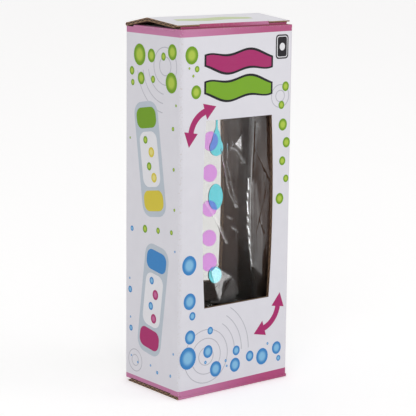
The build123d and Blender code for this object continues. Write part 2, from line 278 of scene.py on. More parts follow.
inner_skin, outer_skin, skin_soft = 0.05 * mm, 0.07 * mm, 0.02 * mm
cut_board, given, result = new_group(
    "cut_board", [("Depth", "Float"), ("Along", "Float"), ("Place", "Vector")], [("Color", "Color")]
)
tree = cut_board
wave_swing, paper_half, liner_depth, paper_soft = 0.45 * mm, 0.17 * mm, 0.24 * mm, 0.05 * mm
fibre_scale = 900.0
painted_shade_height, painted_shade_soft = 56 * mm, 24 * mm
wave = calc(tree, "SINE", calc(tree, "MULTIPLY", given["Along"], 2 * pi / flute_pitch))
wave_depth = calc(tree, "MULTIPLY_ADD", wave, wave_swing, board / 2)
from_wave = calc(tree, "ABSOLUTE", calc(tree, "SUBTRACT", given["Depth"], wave_depth))
from_middle = calc(tree, "ABSOLUTE", calc(tree, "SUBTRACT", given["Depth"], board / 2))
on_wave = calc(tree, "SUBTRACT", 1.0, above(tree, from_wave, paper_half, paper_soft))
on_liner = above(tree, from_middle, board / 2 - liner_depth, paper_soft)
paper = calc(tree, "MAXIMUM", on_wave, on_liner)
fibre = grain(tree, given["Place"], fibre_scale, 4.0)
kraft = mix(tree, fibre, ink(146, 114, 86), ink(178, 144, 114))
# painted shade: where neither wave nor liner is, the cut edge gets a dark ink that stands for the shade in
# the open flutes
edge_with_hollow_shade = mix(tree, paper, ink(62, 47, 36), kraft)
liner_without_shade = mix(tree, fibre, ink(97, 70, 57), ink(114, 84, 68))
# painted shade: below a set height the inner liner is mixed to a darker brown towards the foot of the
# carton
painted_shade_liner = mix(tree, fibre, ink(48, 35, 29), ink(58, 43, 35))
over_floor = add(tree, "SeparateXYZ", {0: given["Place"]}).outputs[2]
above_painted_shade = above(tree, over_floor, painted_shade_height, painted_shade_soft)
liner = mix(tree, above_painted_shade, painted_shade_liner, liner_without_shade)
in_board = above(tree, given["Depth"], inner_skin, skin_soft)
tree.links.new(mix(tree, in_board, liner, edge_with_hollow_shade), result["Color"])
print("cut board: wave pitch", flute_pitch)

# %% [markdown]
# The outside of the board is coated white and printed. Coated board is never quite flat: the flutes
# telegraph through as faint lines, the coat has a soft gloss with some mottle, and folds and corners
# are rubbed. These three effects belong to every panel, so they are one group.

# %% Printed skin of the board
skin, given, result = new_group(
    "printed_skin",
    [("Place", "Vector"), ("Along", "Float"), ("Fold", "Float")],
    [("Rub", "Float"), ("Roughness", "Float"), ("Height", "Float"), ("Mottle", "Float")],
)
coarse_scale, fine_scale = 160.0, 1400.0
rub_start, rub_soft = 0.62, 0.10
gloss_swing, gloss_base = 0.22, 0.26
coarse_height, fine_height, flute_height = 1.4, 0.25, 0.22
coarse = grain(skin, given["Place"], coarse_scale, 5.0)
fine = grain(skin, given["Place"], fine_scale, 3.0)
rub = calc(skin, "MULTIPLY", given["Fold"], above(skin, fine, rub_start, rub_soft))
skin.links.new(rub, result["Rub"])
skin.links.new(calc(skin, "MULTIPLY_ADD", coarse, gloss_swing, gloss_base), result["Roughness"])
ripple = calc(skin, "SINE", calc(skin, "MULTIPLY", given["Along"], 2 * pi / flute_pitch))
bumps = calc(skin, "MULTIPLY_ADD", coarse, coarse_height, calc(skin, "MULTIPLY", fine, fine_height))
skin.links.new(calc(skin, "MULTIPLY_ADD", ripple, flute_height, bumps), result["Height"])
skin.links.new(coarse, result["Mottle"])
print("printed skin: rub, gloss, flutes and mottle")

# %% [markdown]
# A board material needs to know four things: how deep a point lies in the board, which way the wave
# runs, where the board is rubbed and which ink is printed there. Each panel answers them in its own
# way, so the material is built by one function that is given the four answers.

# %% Board material
white_ink = ink(231, 230, 237)
magenta_ink = ink(180, 60, 120)
# the paler magenta is painted sheen on the left of the wall bands; the lid print also fades to it towards
# the right
pale_magenta_ink = ink(201, 120, 165)
deep_magenta_ink = ink(178, 44, 104)
rubbed_ink = ink(208, 202, 200)
mottle_share, relief_depth, relief_strength = 0.25, 0.02 * mm, 0.5
bare_roughness = 0.85


def magenta(tree, axes):
    """The magenta of the bands, paler towards the left of the carton: a painted sheen."""
    # painted sheen: the band magenta is mixed towards the paler magenta on the left of the carton
    return mix(tree, above(tree, axes[0], -4 * mm, 26 * mm), pale_magenta_ink, magenta_ink)


def mottled(tree, surface, colour):
    """A printed colour with the faint mottle of coated board."""
    shade = mix(tree, surface.outputs["Mottle"], ink(214, 213, 219), (1, 1, 1, 1))
    inputs = {0: mottle_share, 6: colour, 7: shade}
    return add(tree, "Mix", inputs, data_type="RGBA", blend_type="MULTIPLY").outputs[2]


def relief(tree, shader, surface):
    """The flutes and the grain of the coat as a bump."""
    inputs = {"Height": surface.outputs["Height"], "Distance": relief_depth, "Strength": relief_strength}
    tree.links.new(add(tree, "Bump", inputs).outputs[0], shader.inputs["Normal"])


def board_finish(name, depth_of, along, fold_of, ink_of):
    """Board with a bare inner liner, kraft cut edges and a printed outer skin."""
    material, tree, shader = finish(name)
    where, axes = place(tree)
    depth = depth_of(tree, axes)
    given = {"Place": where, "Along": axes[along]}
    cut = add(tree, "Group", {**given, "Depth": depth}, node_tree=cut_board)
    surface = add(tree, "Group", {**given, "Fold": fold_of(tree, axes)}, node_tree=skin)
    outside = above(tree, depth, board - outer_skin, skin_soft)
    printed = mix(tree, surface.outputs["Rub"], mottled(tree, surface, ink_of(tree, axes)), rubbed_ink)
    tree.links.new(mix(tree, outside, cut.outputs["Color"], printed), shader.inputs["Base Color"])
    matt = calc(tree, "SUBTRACT", bare_roughness, calc(tree, "MULTIPLY", outside, bare_roughness))
    rough = calc(tree, "MAXIMUM", matt, surface.outputs["Roughness"])
    tree.links.new(rough, shader.inputs["Roughness"])
    relief(tree, shader, surface)
    return material


def dress(material, *names):
    """Gives a finish to CAD nodes."""
    for name in names:
        slots = nodes[name].data.materials
        slots.clear()
        slots.append(material)
    print(material.name, "on", ", ".join(names))


# %% [markdown]
# ## Carton walls
# The four walls are one tube. Depth is measured outwards from the inner rectangle, which also follows
# the rounded folds at the corners. Where a side wall goes over into a dust flap, the printed skin runs on
# over the crease, so the ledge there counts as skin too. A magenta band runs round the top and the
# bottom. On the real carton the band is printed a little askew, so its edge here is a sloping line.

# %% Walls
top_band, bottom_band = 3.0 * mm, 4.1 * mm
band_skew, band_soft, print_soft = 0.010, 0.06 * mm, 0.05 * mm
crease_zone, crease_ledge = 3.3 * mm, 0.35 * mm
corner_reach, corner_soft = 1.0 * mm, 0.8 * mm
rim_reach, rim_soft, rim_rub = 0.8 * mm, 0.6 * mm, 0.2


def wall_depth(tree, axes):
    """Distance from the inner rectangle; the ledge at a dust flap counts as skin."""
    over_x, over_y = (
        calc(tree, "MAXIMUM", calc(tree, "SUBTRACT", calc(tree, "ABSOLUTE", axes[n]), inner), 0.0)
        for n, inner in enumerate((inner_x, inner_y))
    )
    from_middle = calc(tree, "ABSOLUTE", calc(tree, "SUBTRACT", axes[2], carton_top / 2))
    at_crease = above(tree, from_middle, carton_top / 2 - crease_zone, print_soft)
    on_crease = calc(tree, "MULTIPLY", at_crease, above(tree, over_x, crease_ledge, skin_soft))
    return calc(tree, "MULTIPLY_ADD", on_crease, board, span(tree, over_x, over_y))


def wall_fold(tree, axes):
    """Rubbed along the upright corners, and a little along the top edge."""
    near = [
        above(tree, calc(tree, "ABSOLUTE", axes[n]), half - corner_reach, corner_soft)
        for n, half in enumerate((half_width, half_depth))
    ]
    corner = calc(tree, "MULTIPLY", *near)
    upper = above(tree, axes[2], carton_top - rim_reach, rim_soft)
    return calc(tree, "MAXIMUM", corner, calc(tree, "MULTIPLY", upper, rim_rub))


def wall_ink(tree, axes):
    """White, with a magenta band at the top and at the bottom."""
    skew = calc(tree, "MULTIPLY", axes[0], band_skew)
    upper = above(tree, calc(tree, "SUBTRACT", axes[2], skew), carton_top - top_band, band_soft)
    lower = above(tree, calc(tree, "SUBTRACT", skew, axes[2]), -bottom_band, band_soft)
    return mix(tree, calc(tree, "MAXIMUM", upper, lower), white_ink, magenta(tree, axes))


wall_board = board_finish("wall_board", wall_depth, 2, wall_fold, wall_ink)
dress(wall_board, "front_panel", "rear_panel", "left_side_panel", "right_side_panel")

# %% [markdown]
# ## Lid
# The lid is sprung up by its tuck flap and has taken a soft ridge, so it is two slopes. The depth below
# each slope is a plain sum, and the larger one counts. The hinge roll at the rear and the fold over
# the front edge are round, so there depth is the distance from the crease. Beyond the slits the board
# is pressed thin and shows plain paper. Fold, tuck flap and hinge are printed magenta, the top is white.

# %% Lid
crease = board / 2
hinge_y = half_depth - crease
tuck_low, tuck_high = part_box("lid_tuck_flap")
lid_rise, lid_front_lift, lid_peak = 3.0 * mm, 1.1 * mm, 15.0 * mm
ridge_y, ridge_z = hinge_y - lid_peak, carton_top + lid_rise
lid_climb = atan2(lid_rise, lid_peak)
lid_droop = atan2(lid_rise - lid_front_lift, ridge_y - tuck_high.y)
fold_z = ridge_z - (ridge_y - tuck_high.y) * tan(lid_droop) - crease / cos(lid_droop)
lid_slit, pressed_depth = 19.2 * mm, 0.15 * mm
side_reach, side_soft, side_rub = 1.6 * mm, 0.9 * mm, 0.8
front_reach, front_soft, front_rub = 1.4 * mm, 1.0 * mm, 0.15
fold_print, hinge_print = 0.9 * mm, 0.5 * mm


def slope_depth(tree, axes, y, z, angle):
    """Depth in a sloping sheet whose middle goes through a point."""
    level = calc(tree, "MULTIPLY_ADD", axes[1], sin(angle), crease - y * sin(angle) - z * cos(angle))
    return calc(tree, "MULTIPLY_ADD", axes[2], cos(angle), level)


def from_line(tree, axes, centre):
    """How far a point lies from a line, given by its place on the two axes across it."""
    parts = [calc(tree, "SUBTRACT", axes[axis], spot) for axis, spot in centre.items()]
    return span(tree, *parts)


def roll_depth(tree, axes, centre):
    """Depth in the outer half of a rounded crease, which lies beyond its first place."""
    axis, spot = next(iter(centre.items()))
    beyond = above(tree, calc(tree, "ABSOLUTE", axes[axis]), abs(spot), skin_soft / 2)
    return calc(tree, "MULTIPLY", calc(tree, "ADD", from_line(tree, axes, centre), crease), beyond)


def between_slits(tree, axes):
    """1 along the part of the front fold that the slits leave joined."""
    return calc(tree, "LESS_THAN", calc(tree, "ABSOLUTE", axes[0]), lid_slit)


def near_sides(tree, axes):
    """1 along the left and the right edge of a piece."""
    return above(tree, calc(tree, "ABSOLUTE", axes[0]), half_width - side_reach, side_soft)


def lid_depth(tree, axes):
    """The largest of the two slopes, the hinge roll, the front fold and the pressed shoulders."""
    rear = slope_depth(tree, axes, hinge_y, carton_top, lid_climb)
    front = slope_depth(tree, axes, ridge_y, ridge_z, -lid_droop)
    sheet = calc(tree, "MAXIMUM", rear, front)
    roll = roll_depth(tree, axes, {1: hinge_y, 2: carton_top})
    elbow = from_line(tree, axes, {1: tuck_high.y, 2: fold_z})
    before = calc(tree, "LESS_THAN", axes[1], tuck_high.y)
    joined = between_slits(tree, axes)
    folded = calc(tree, "MULTIPLY", elbow, calc(tree, "MULTIPLY", before, joined))
    shoulder = calc(tree, "MULTIPLY", before, calc(tree, "SUBTRACT", 1.0, joined))
    pressed = calc(tree, "MULTIPLY", shoulder, board - pressed_depth)
    deepest = calc(tree, "MAXIMUM", calc(tree, "MAXIMUM", sheet, roll), folded)
    return calc(tree, "MAXIMUM", deepest, pressed)


def lid_fold(tree, axes):
    """Rubbed along the sides, and a little along the front."""
    sides = calc(tree, "MULTIPLY", near_sides(tree, axes), side_rub)
    front = calc(tree, "SUBTRACT", 1.0, above(tree, axes[1], tuck_low.y + front_reach, front_soft))
    return calc(tree, "MAXIMUM", sides, calc(tree, "MULTIPLY", front, front_rub))


def lid_ink(tree, axes):
    """White, with magenta on fold and hinge that is paler towards the right."""
    front = calc(tree, "SUBTRACT", 1.0, above(tree, axes[1], tuck_low.y + fold_print, print_soft))
    front = calc(tree, "MULTIPLY", front, between_slits(tree, axes))
    rear = above(tree, axes[1], hinge_y - hinge_print, print_soft)
    # the magenta on fold and hinge is mixed from deep to pale towards the right
    right_paler_magenta = mix(tree, above(tree, axes[0], 9 * mm, 16 * mm), deep_magenta_ink, pale_magenta_ink)
    return mix(tree, calc(tree, "MAXIMUM", front, rear), white_ink, right_paler_magenta)


dress(board_finish("lid_board", lid_depth, 1, lid_fold, lid_ink), "lid_panel")

# %% [markdown]
# ## Flaps and bottom
# The rest are flat pieces. Depth runs along one axis, outwards, from the inner face of the piece. Where
# a piece hangs on a rounded crease, the printed skin goes round it, and the magenta band ends a little
# way past the fold. The tuck flaps are magenta all over.

# %% Flaps and bottom
flap_rub, band_end = 0.4, 2.0 * mm


def flat_finish(name, node, axis, inner, outwards, along, ink_of, centre=None):
    """Board whose outer skin faces one way along an axis, with a rounded crease if it has one."""
    def depth(tree, axes):
        flat = calc(tree, "MULTIPLY_ADD", axes[axis], float(outwards), -outwards * inner)
        return calc(tree, "MAXIMUM", flat, roll_depth(tree, axes, centre)) if centre else flat

    def fold(tree, axes):
        return calc(tree, "MULTIPLY", near_sides(tree, axes), flap_rub)

    dress(board_finish(name, depth, along, fold, ink_of), node)


def edge_ink(axis, edge):
    """Magenta beyond a distance from the middle, white within it."""
    def printed(tree, axes):
        beyond = above(tree, calc(tree, "ABSOLUTE", axes[axis]), edge, print_soft)
        return mix(tree, beyond, white_ink, magenta(tree, axes))

    return printed


def plain_ink(colour):
    """One colour all over."""
    return lambda tree, axes: colour


tuck_ink = plain_ink(deep_magenta_ink)
rear_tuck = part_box("bottom_tuck_flap")[0].y
flat_finish("lid_tuck_board", "lid_tuck_flap", 1, tuck_high.y, -1, 2, tuck_ink)
flat_finish("bottom_tuck_board", "bottom_tuck_flap", 1, rear_tuck, 1, 2, tuck_ink)
bottom_ink = edge_ink(1, half_depth - band_end)
flat_finish("bottom_board", "bottom_panel", 2, board, -1, 1, bottom_ink, {1: -hinge_y, 2: crease})
crease_x = half_width - crease
flap_ink = edge_ink(0, half_width - band_end)
for side, sign in (("left", -1), ("right", 1)):
    for end, outwards in (("top", 1), ("bottom", -1)):
        low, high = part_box(f"{end}_dust_flap_{side}")
        inner = low.z if outwards > 0 else high.z
        centre = {0: sign * crease_x, 2: (low.z + high.z) / 2}
        name = f"{end}_dust_board_{side}"
        flat_finish(name, f"{end}_dust_flap_{side}", 2, inner, outwards, 1, flap_ink, centre)
flat_finish("glue_board", "glue_flap", 0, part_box("glue_flap")[0].x, 1, 2, plain_ink(white_ink))

# %% [markdown]
# ## Clear pieces
# Shell, liquid, funnels and drops touch each other, and their indices are close: what bends the light
# is the outside of the filled shell. So one solid body stands for shell and clear liquid, with the
# index of the filling, and the pieces inside it bend light only by the small difference. The mirror
# colour of that body is a painted reflection: a warm, dim tint that makes what it mirrors look like brown
# board.

# %% Clear finishes
haze_scale, haze_roughness = 220.0, 0.02


def clear_finish(name, tint, index, mirror=(1, 1, 1)):
    """A see-through finish; tint colours what goes through, mirror what is thrown back."""
    material, tree, shader = finish(name)
    where, _ = place(tree)
    haze = calc(tree, "MULTIPLY", grain(tree, where, haze_scale, 3.0), haze_roughness)
    tree.links.new(haze, shader.inputs["Roughness"])
    shader.inputs["Base Color"].default_value = (*tint, 1)
    shader.inputs["Transmission Weight"].default_value = 1.0
    shader.inputs["IOR"].default_value = index
    shader.inputs["Specular Tint"].default_value = (*mirror, 1)
    return material


# painted reflection: the warm mirror colour dims and browns everything the filled body mirrors
filled_clear = clear_finish("filled_clear", (0.76, 0.755, 0.74), 1.40, (0.52, 0.37, 0.33))
inner_clear = clear_finish("inner_clear", (0.99, 0.995, 0.995), 1.04)
cap_clear = clear_finish("cap_clear", (0.96, 0.975, 0.98), 1.35)
teal_liquid = clear_finish("teal_liquid", (0.20, 0.86, 0.98), 1.02)
pink_liquid = clear_finish("pink_liquid", (0.92, 0.42, 1.0), 1.02)
dress(inner_clear, "upper_funnel", "lower_funnel", "centre_divider")
dress(cap_clear, "top_end_cap", "bottom_end_cap", "filler_plugs")
dress(teal_liquid, "teal_upper_pool", "teal_lower_pool", "teal_gutter_pool", "teal_drops")
dress(pink_liquid, "pink_upper_pool", "pink_lower_pool", "pink_gutter_pool", "pink_drops")

# %% [markdown]
# The body is an oval that narrows towards its waist. A cylinder with many rings gets that form when
# each ring is scaled: the waist's size plus a share that grows with the square of the height from
# the middle.

# %% Filled body
body_low, body_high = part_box("timer_shell")
waist_x, waist_y = 22.5 * mm, 12.8 * mm
end_x, end_y = 28.5 * mm, 15.3 * mm
timer_length = 150.0 * mm
body_middle = (body_low.z + body_high.z) / 2
end_gap = 0.05 * mm
ring_points, ring_cuts = 160, 59


def new_piece(name, bm, material, body, *replaced, smooth=True):
    """Turns a bmesh into a piece that rides on a body."""
    piece = new_object(name, bm, material)
    for face in piece.data.polygons:
        face.use_smooth = smooth
    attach(piece, body)
    if replaced:
        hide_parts(*replaced)
    print(name, len(piece.data.polygons), "faces on", body)
    return piece


bm = bmesh.new()
height = body_high.z - body_low.z - 2 * end_gap
bmesh.ops.create_cone(
    bm, cap_ends=True, segments=ring_points, radius1=1.0, radius2=1.0, depth=height,
)
long_edges = [e for e in bm.edges if abs(e.verts[0].co.z - e.verts[1].co.z) > height / 2]
bmesh.ops.subdivide_edges(bm, edges=long_edges, cuts=ring_cuts, use_grid_fill=True)
for vert in bm.verts:
    share = (vert.co.z / (timer_length / 2)) ** 2
    vert.co.x *= waist_x + (end_x - waist_x) * share
    vert.co.y *= waist_y + (end_y - waist_y) * share
bmesh.ops.translate(bm, verts=bm.verts, vec=(0, 0, body_middle))
bmesh.ops.recalc_face_normals(bm, faces=bm.faces)
filled_body = new_piece(
    "filled_body", bm, filled_clear, "timer",
    "timer_shell", "front_carrier", "rear_carrier", "upper_carrier", "lower_carrier",
)
for face in filled_body.data.polygons:
    face.use_smooth = abs(face.normal.z) < 0.9

# %% [markdown]
# ## Window film
# The film behind each window is a thin clear sheet, glued along its border and crumpled in between. It
# hangs in soft upright folds, and where it is pinched a flat facet throws the soft box straight back. A
# cloth simulation would put folds somewhere else, so the sheet is a fine grid that is pushed in along
# chosen lines. Its gloss is a coat over the clear sheet, and an attribute called glare sets how strongly
# that coat shines, a painted sheen: on the facets, in a few hazy veils and faintly in between.

# %% Film finish
film_finish, tree, shader = finish("window_film")
for socket, value in (
    ("Base Color", (0.985, 0.985, 0.985, 1)), ("Roughness", 0.03), ("IOR", 1.12),
    ("Transmission Weight", 1.0), ("Coat IOR", 1.9), ("Coat Roughness", 0.07),
):
    shader.inputs[socket].default_value = value
where, _ = place(tree)
smear_scale, least_shine = 260.0, 0.45
# painted sheen: the glare attribute sets the coat weight, and so where and how strongly the film shines
glare = add(tree, "Attribute", attribute_name="glare").outputs["Fac"]
patchy = calc(tree, "ADD", grain(tree, where, smear_scale, 4.0), least_shine)
tree.links.new(calc(tree, "MULTIPLY", glare, patchy), shader.inputs["Coat Weight"])
print("film finish with a coat where the glare attribute is set")

# %% [markdown]
# A facet shines when it faces half-way between the camera and the lamp. That direction is worked out for
# each one, as two slopes. A facet is a polygon on the sheet, written as points in millimetres from the
# middle of the film, and the grid points near it are drawn on to its plane.

# %% Facets of the film
def mirror_slope(spot):
    """Slopes to the right and upwards of a facet that shows the glint box to the camera."""
    eye = camera.matrix_world.translation
    half_way = (eye - spot).normalized() + (glint_spot - spot).normalized()
    return Vector((half_way.x / -half_way.y, half_way.z / -half_way.y))


def near_line(point, start, end):
    """Distance of a point from a line piece, all in millimetres."""
    line = end - start
    share = max(0.0, min(1.0, (point - start).dot(line) / line.length_squared))
    return (point - start - line * share).length


def from_patch(point, corners):
    """Distance of a point from a polygon with a fan of triangles; 0 inside."""
    first = corners[0]
    for second, third in zip(corners[1:], corners[2:]):
        if geometry.intersect_point_tri_2d(point, first, second, third):
            return 0.0
    return min(near_line(point, a, b) for a, b in zip(corners, corners[1:] + corners[:1]))


def strip(points, width, facet_length):
    """Facets along a line; a longer piece of the line is split into equal ones."""
    side = Vector((width / 2, 0))
    made = []
    for start, end in zip(points, points[1:]):
        start, end = Vector(start), Vector(end)
        count = ceil((end - start).length / facet_length)
        stops = [start.lerp(end, step / count) for step in range(count + 1)]
        made += [[a - side, a + side, b + side, b - side] for a, b in zip(stops, stops[1:])]
    return made


print("facet slopes in the middle", [round(s, 3) for s in mirror_slope(view_target)])

# %% [markdown]
# The sheet itself: every grid point gets the soft folds, then the creases, then the facet planes, and the
# border is held flat where the glue is. The sheet is given its thickness last, so that both faces carry
# the same glare.

# %% Film sheet
film_columns, film_rows, film_thickness = 116, 220, 0.06 * mm
glue_border, facet_depth, facet_edge = 5, 1.5, 0.4


def soft_folds(u, v, seed):
    """How far the loose sheet hangs in: one even wave, and broad and narrow folds."""
    push = 0.7 + 0.3 * sin(0.42 * u + 0.02 * v + seed)
    push += 0.5 * noise.noise((u * 0.07, v * 0.025, seed))
    return push + 0.2 * noise.noise((u * 0.22, v * 0.05, seed + 9))


def soft_sheen(u, v, seed):
    """The faint shine between the facets, in upright streaks that fade towards the lower end."""
    shine = 0.12 + 0.16 * max(0.0, noise.noise((u * 0.6, v * 0.035, seed + 3)))
    return shine * min(1.0, max(0.0, (v + 38) / 70))


def film_sheet(name, node, outwards, creases, facets, veils, seed):
    """A crumpled sheet in the place of a CAD film, all in mm from its middle."""
    low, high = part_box(node)
    centre = (low + high) / 2
    width, height = (high.x - low.x) / mm, (high.z - low.z) / mm
    planes = []
    for corners, strength, reach in facets:
        middle = sum(corners, Vector((0, 0))) / len(corners)
        spot = centre + Vector((middle.x, 0, middle.y)) * mm
        far = max((corner - middle).length for corner in corners) + 3 * reach
        planes.append((corners, middle, mirror_slope(spot), strength, reach, far))
    bm = bmesh.new()
    glare = bm.verts.layers.float.new("glare")
    bmesh.ops.create_grid(bm, x_segments=film_columns, y_segments=film_rows, size=0.5)
    for vert in bm.verts:
        u, v = vert.co.x * width, vert.co.y * height
        here = Vector((u, v))
        hold = min(1.0, (width / 2 - abs(u)) / glue_border)
        hold *= min(1.0, (height / 2 - abs(v)) / glue_border)
        push = soft_folds(u, v, seed)
        shine = soft_sheen(u, v, seed)
        for corners, strength, soft in veils:
            streak = 0.75 + 0.6 * noise.noise((u * 1.1, v * 0.05, seed + 5))
            shine += strength * streak * exp(-((from_patch(here, corners) / soft) ** 2))
        for start, end, depth, reach in creases:
            push += depth * exp(-near_line(here, Vector(start), Vector(end)) / reach)
        for corners, middle, slope, strength, reach, far in planes:
            if (here - middle).length > far:
                continue
            away = from_patch(here, corners)
            push += (facet_depth + slope.dot(here - middle) - push) * exp(-((away / reach) ** 2))
            shine = max(shine, strength * exp(-((away / facet_edge) ** 2)))
        inwards = max(0.0, push) * max(0.0, hold)
        vert.co = (centre.x + u * mm, centre.y - outwards * inwards * mm, centre.z + v * mm)
        vert[glare] = min(1.0, shine)
    bmesh.ops.recalc_face_normals(bm, faces=bm.faces)
    bmesh.ops.solidify(bm, geom=bm.faces[:], thickness=film_thickness)
    sheet = new_piece(name, bm, film_finish, "carton", node)


def patch(*points):
    """A polygon on a film."""
    return [Vector(p) for p in points]


print("film sheet of", film_columns, "by", film_rows, "cells")

# %% [markdown]
# A crease is written as its two ends, how far it is pushed in and how far that reaches. A facet has its
# corners, its shine and its soft edge. A row of facets has the points of its line, its width, its longest
# facet and its shine; along the bright streak the facets are uneven, because even ones look like beads. A
# veil is a hazy patch with its shine and its soft edge.

# %% Front film
patch_reach, row_reach = 0.7, 0.3
front_creases = (
    ((-6.2, 36.0), (-3.2, 13.0), 0.35, 0.9),
    ((-3.2, 13.0), (-0.7, 5.0), 0.35, 0.8),
    ((-1.9, 30.0), (3.7, 34.7), 0.4, 0.7),
    ((11.8, 38.0), (10.8, 12.0), 0.4, 1.6),
    ((14.8, 30.0), (18.3, 5.0), 0.3, 0.8),
    ((18.3, 5.0), (13.3, -12.0), 0.25, 0.7),
    ((-3.9, -2.3), (1.4, -6.5), 0.45, 0.5),
    ((-1.2, -7.4), (3.4, -9.4), 0.4, 0.5),
)
front_facets = [
    (patch((4.2, 33.1), (-0.1, 29.0), (3.9, 25.9)), 0.52, patch_reach),
    (patch((-8.8, -24.1), (-0.2, -29.7), (-5.3, -31.7), (-8.6, -40.3), (-11.8, -26.1)), 0.30, patch_reach),
]
for line, width, length, strength in (
    (((-2.6, 27.9), (0.8, 26.4), (3.1, 23.6), (4.9, 20.6)), 0.9, 3.0, 0.9),
    (((-16.1, 5.2), (-12.2, -0.2), (-7.6, -7.5), (-4.0, -14.2)), 0.5, 4.5, 0.95),
    (((8.4, 13.7), (8.1, 7.2), (7.9, 3.4)), 1.5, 9.0, 0.95),
    (((7.9, 3.4), (8.2, -3.6), (8.4, -7.4)), 1.5, 9.0, 0.95),
    (((8.4, -7.4), (9.0, -13.0), (9.4, -17.2)), 1.5, 9.0, 0.95),
    (((9.4, -17.2), (10.2, -22.5), (10.8, -26.0)), 1.2, 9.0, 0.8),
    (((-3.8, -2.4), (-1.6, -3.6)), 0.8, 3.0, 0.6),
    (((-1.0, -7.4), (1.2, -9.0)), 0.8, 3.0, 0.6),
    (((-7.5, 27.6), (-4.9, 17.7), (-3.0, 8.8), (0.8, 1.7)), 0.7, 9.0, 0.45),
    (((-3.6, 29.9), (-3.7, 21.7), (-2.3, 14.2), (-0.2, 7.2), (2.4, 1.8)), 0.7, 9.0, 0.3),
    (((12.0, 26.0), (16.3, 18.8), (20.2, 11.7)), 0.7, 3.0, 0.35),
    (((15.5, -6.0), (18.0, -12.5)), 0.5, 4.5, 0.35),
):
    front_facets += [(corners, strength, row_reach) for corners in strip(line, width, length)]
front_veils = (
    (patch((9.4, 12.0), (11.5, 10.0), (15.7, -8.4), (18.0, -31.4), (11.8, -25.5)), 0.6, 1.2),
    (patch((8.1, 41.0), (12.3, 41.0), (11.0, 18.0), (8.4, 15.0)), 0.45, 1.0),
    (patch((13.5, 41.0), (18.5, 41.0), (18.5, -20.0), (16.5, 0.0)), 0.22, 1.5),
    (patch((-0.1, -30.8), (2.7, -37.2), (0.1, -39.3), (-8.3, -39.9)), 0.22, 0.6),
    (patch((3.5, 26.0), (8.0, 26.0), (7.5, 0.0), (6.5, -18.0), (4.0, -12.0)), 0.12, 1.5),
    (patch((-7.0, 41.0), (3.0, 41.0), (0.0, 16.0), (-5.0, 20.0)), 0.10, 2.0),
)
film_sheet("front_film_sheet", "front_window_film", -1, front_creases, front_facets, front_veils, 1.3)

# %% [markdown]
# The rear film only shows as the bright strip behind the drops, so three creases are enough for it.

# %% Rear film
rear_creases = (
    ((-9.0, 36.0), (-3.0, -20.0), 0.4, 1.6),
    ((5.0, 30.0), (8.0, -34.0), 0.45, 1.8),
    ((-6.0, 12.0), (9.0, -6.0), 0.35, 0.6),
)
film_sheet("rear_film_sheet", "rear_window_film", 1, rear_creases, (), (), 4.1)

# %% [markdown]
# ## Print on the carton
# The white carton carries a bright print: loose dots in blue and green, rings like ripples, bands of colour
# and a pair of turning arrows. Print could be a picture, but then it would need a file, so each ink here
# is a set of flat shapes a few hundredths of a millimetre thick that lie on the paper. First come the
# faces that carry print. On each one, places are written as millimetres to the right of and below its
# top left corner.

# %% Faces that carry print
def face_frame(corner, right, up):
    """A flat face in mm: x to the right and y up from its top left corner, z off the paper."""
    right, up = Vector(right), Vector(up)
    turn = Matrix((right, up, right.cross(up))).transposed().to_4x4()
    return Matrix.Translation(corner) @ turn @ Matrix.Scale(mm, 4)


upright = (0, 0, 1)
front_face = face_frame((-half_width, -half_depth, carton_top), (1, 0, 0), upright)
left_face = face_frame((-half_width, half_depth, carton_top), (0, -1, 0), upright)
rear_face = face_frame((half_width, half_depth, carton_top), (-1, 0, 0), upright)
right_face = face_frame((half_width, -half_depth, carton_top), (0, 1, 0), upright)
slope_up = Vector((0, cos(lid_droop), sin(lid_droop)))
slope_out = Vector((0, -sin(lid_droop), cos(lid_droop)))
lid_corner = Vector((-half_width, ridge_y, ridge_z)) + slope_out * crease
lid_face = face_frame(lid_corner, (1, 0, 0), slope_up)
print("front face is", round(2 * half_width / mm, 1), "by", round(carton_top / mm, 1), "mm")

# %% [markdown]
# Four tools draw everything: a dot, a rounded patch, a wavy ribbon and a bent band. Each starts from one
# simple shape and is placed by a matrix. A dot keeps an attribute called light, which is 1 in its middle
# and 0 on its rim, so that the ink can be paler inside.

# %% Drawing tools
ink_sheets = {}
layer_height, dot_stretch = 0.04, 1.12


def ink_sheet(name):
    """The bmesh that collects all shapes of one ink."""
    if name not in ink_sheets:
        ink_sheets[name] = bmesh.new()
        ink_sheets[name].verts.layers.float.new("light")
    return ink_sheets[name]


def spot_on(face, at, layer, turn=0.0, size=(1, 1)):
    """Matrix for a shape of unit size; higher layers lie over lower ones."""
    spot = Matrix.Translation((at[0], -at[1], layer_height * layer))
    return face @ spot @ Matrix.Rotation(turn, 4, "Z") @ Matrix.Diagonal((*size, 1, 1))


def dot(name, face, at, radius, layer=1):
    """A dot, a little taller than wide; only its middle point joins more than three faces."""
    bm = ink_sheet(name)
    where = spot_on(face, at, layer, size=(radius, dot_stretch * radius))
    made = bmesh.ops.create_circle(
        bm, cap_ends=True, cap_tris=True, segments=24, radius=1.0, matrix=where,
    )
    light = bm.verts.layers.float["light"]
    for vert in made["verts"]:
        vert[light] = float(len(vert.link_faces) > 3)


def rounded_patch(name, face, at, size, radius, layer=1, turn=0.0):
    """A rectangle with rounded corners."""
    bm = ink_sheet(name)
    where = spot_on(face, at, layer, turn, size)
    made = bmesh.ops.create_grid(bm, x_segments=1, y_segments=1, size=0.5, matrix=where)
    bmesh.ops.bevel(
        bm, geom=made["verts"], offset=radius * mm, offset_type="OFFSET", affect="VERTICES",
        segments=6, profile=0.5, material=-1,
    )


def ribbon(name, face, at, length, width, swing, layer=1):
    """A band in one and a half waves that gets narrower towards both ends."""
    bm = ink_sheet(name)
    made = bmesh.ops.create_grid(bm, x_segments=48, y_segments=1, size=0.5)
    for vert in made["verts"]:
        along, across = vert.co.x, vert.co.y
        taper = 1 - 0.45 * (2 * abs(along)) ** 3
        vert.co = (along * length, swing * sin(3 * pi * along) + across * width * taper, 0)
    bmesh.ops.transform(bm, matrix=spot_on(face, at, layer), verts=made["verts"])


